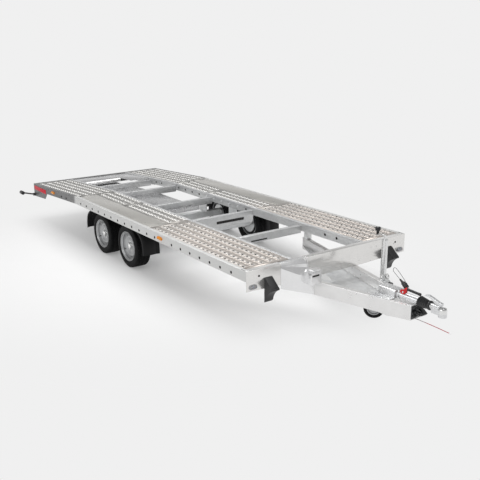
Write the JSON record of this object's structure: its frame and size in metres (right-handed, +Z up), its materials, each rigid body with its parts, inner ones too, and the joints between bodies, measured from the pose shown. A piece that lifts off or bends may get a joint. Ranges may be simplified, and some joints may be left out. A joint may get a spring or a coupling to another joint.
{
  "type": "tandem-axle flatbed car trailer",
  "caption": "Flatbed car trailer with perforated wheel tracks, an open centre, a sloping tail, tandem wheels, a V drawbar with overrun coupling and a jockey wheel.",
  "frame": {"origin": "on the floor, on the centreline, under the middle of the overall length", "axes": "+X forward to the coupling, +Y to the trailer's left, +Z up"},
  "size_m": [7.0196, 2.5538, 0.9143],
  "materials": {
    "aluminium_sheet": "satin",
    "amber_lens": "gloss",
    "black_plastic": "matte",
    "black_rubber": "matte",
    "black_steel": "satin",
    "cast_iron": "matte",
    "clear_lens": "gloss",
    "coupling_zinc": "satin",
    "galvanised": "satin",
    "grey_sheath": "matte",
    "red_lens": "gloss",
    "red_paint": "gloss",
    "red_plastic": "gloss",
    "tyre_rubber": "matte",
    "wheel_steel": "satin",
    "zinc_bright": "satin"
  },
  "bodies": {
    "trailer": {"arm_brackets": "galvanised", "axle_front": "galvanised", "axle_hangers": "galvanised", "axle_rear": "galvanised", "bellows": "black_rubber", "brake_linkage": "black_steel", "breakaway_cable": "red_paint", "coupling_handle": "galvanised", "coupling_head": "coupling_zinc", "cover_latch": "aluminium_sheet", "cross_members": "galvanised", "deck_track_left": "aluminium_sheet", "deck_track_right": "aluminium_sheet", "drawbar_arm_left": "galvanised", "drawbar_arm_right": "galvanised", "drawbar_cover": "aluminium_sheet", "drawbar_tray": "galvanised", "front_board": "aluminium_sheet", "front_lamps": "clear_lens", "guard_posts": "galvanised", "handbrake": "red_paint", "handbrake_grip": "black_plastic", "inner_rails": "galvanised", "jockey_clamp": "galvanised", "jockey_crank": "zinc_bright", "jockey_tube": "galvanised", "mudguard_left": "black_plastic", "mudguard_right": "black_plastic", "outline_lamps": "red_lens", "overrun_body": "galvanised", "plate_panel": "black_plastic", "plug": "black_plastic", "plug_cord": "grey_sheath", "plug_holder": "galvanised", "rear_beam": "galvanised", "rear_panel": "galvanised", "rear_roller": "galvanised", "side_lamps": "amber_lens", "side_rail_left": "galvanised", "side_rail_right": "galvanised", "side_strips": "red_plastic", "tail_lamps": "red_lens", "wheel_chocks": "black_plastic", "wheel_covers": "aluminium_sheet"},
    "wheel_front_left": {"tyre_front_left": "tyre_rubber", "rim_front_left": "wheel_steel", "drum_front_left": "cast_iron"},
    "wheel_front_right": {"tyre_front_right": "tyre_rubber", "rim_front_right": "wheel_steel", "drum_front_right": "cast_iron"},
    "wheel_rear_left": {"tyre_rear_left": "tyre_rubber", "rim_rear_left": "wheel_steel", "drum_rear_left": "cast_iron"},
    "wheel_rear_right": {"tyre_rear_right": "tyre_rubber", "rim_rear_right": "wheel_steel", "drum_rear_right": "cast_iron"},
    "jockey_leg": {"jockey_leg": "galvanised"},
    "jockey_fork": {"jockey_fork": "galvanised"},
    "jockey_wheel": {"jockey_tyre": "tyre_rubber", "jockey_hub": "zinc_bright"}
  },
  "joints": [
    {"name": "wheel_front_left_spin", "type": "hinge", "parent": "trailer", "child": "wheel_front_left", "pos_m": [-0.44498, 0.8975, 0.263], "axis": [0, 1, 0], "continuous": true},
    {"name": "wheel_front_right_spin", "type": "hinge", "parent": "trailer", "child": "wheel_front_right", "pos_m": [-0.44498, -0.8975, 0.263], "axis": [0, 1, 0], "continuous": true},
    {"name": "wheel_rear_left_spin", "type": "hinge", "parent": "trailer", "child": "wheel_rear_left", "pos_m": [-1.15898, 0.8975, 0.263], "axis": [0, 1, 0], "continuous": true},
    {"name": "wheel_rear_right_spin", "type": "hinge", "parent": "trailer", "child": "wheel_rear_right", "pos_m": [-1.15898, -0.8975, 0.263], "axis": [0, 1, 0], "continuous": true},
    {"name": "jockey_leg_slide", "type": "slide", "parent": "trailer", "child": "jockey_leg", "axis": [0, 0, 1], "range_m": [-0.2, 0.024]},
    {"name": "jockey_swivel", "type": "hinge", "parent": "jockey_leg", "child": "jockey_fork", "pos_m": [2.48802, 0.28734, 0.232], "axis": [0, 0, 1], "continuous": true},
    {"name": "jockey_wheel_spin", "type": "hinge", "parent": "jockey_fork", "child": "jockey_wheel", "pos_m": [2.43202, 0.23934, 0.1], "axis": [0.6508, -0.7593, 0], "continuous": true}
  ]
}
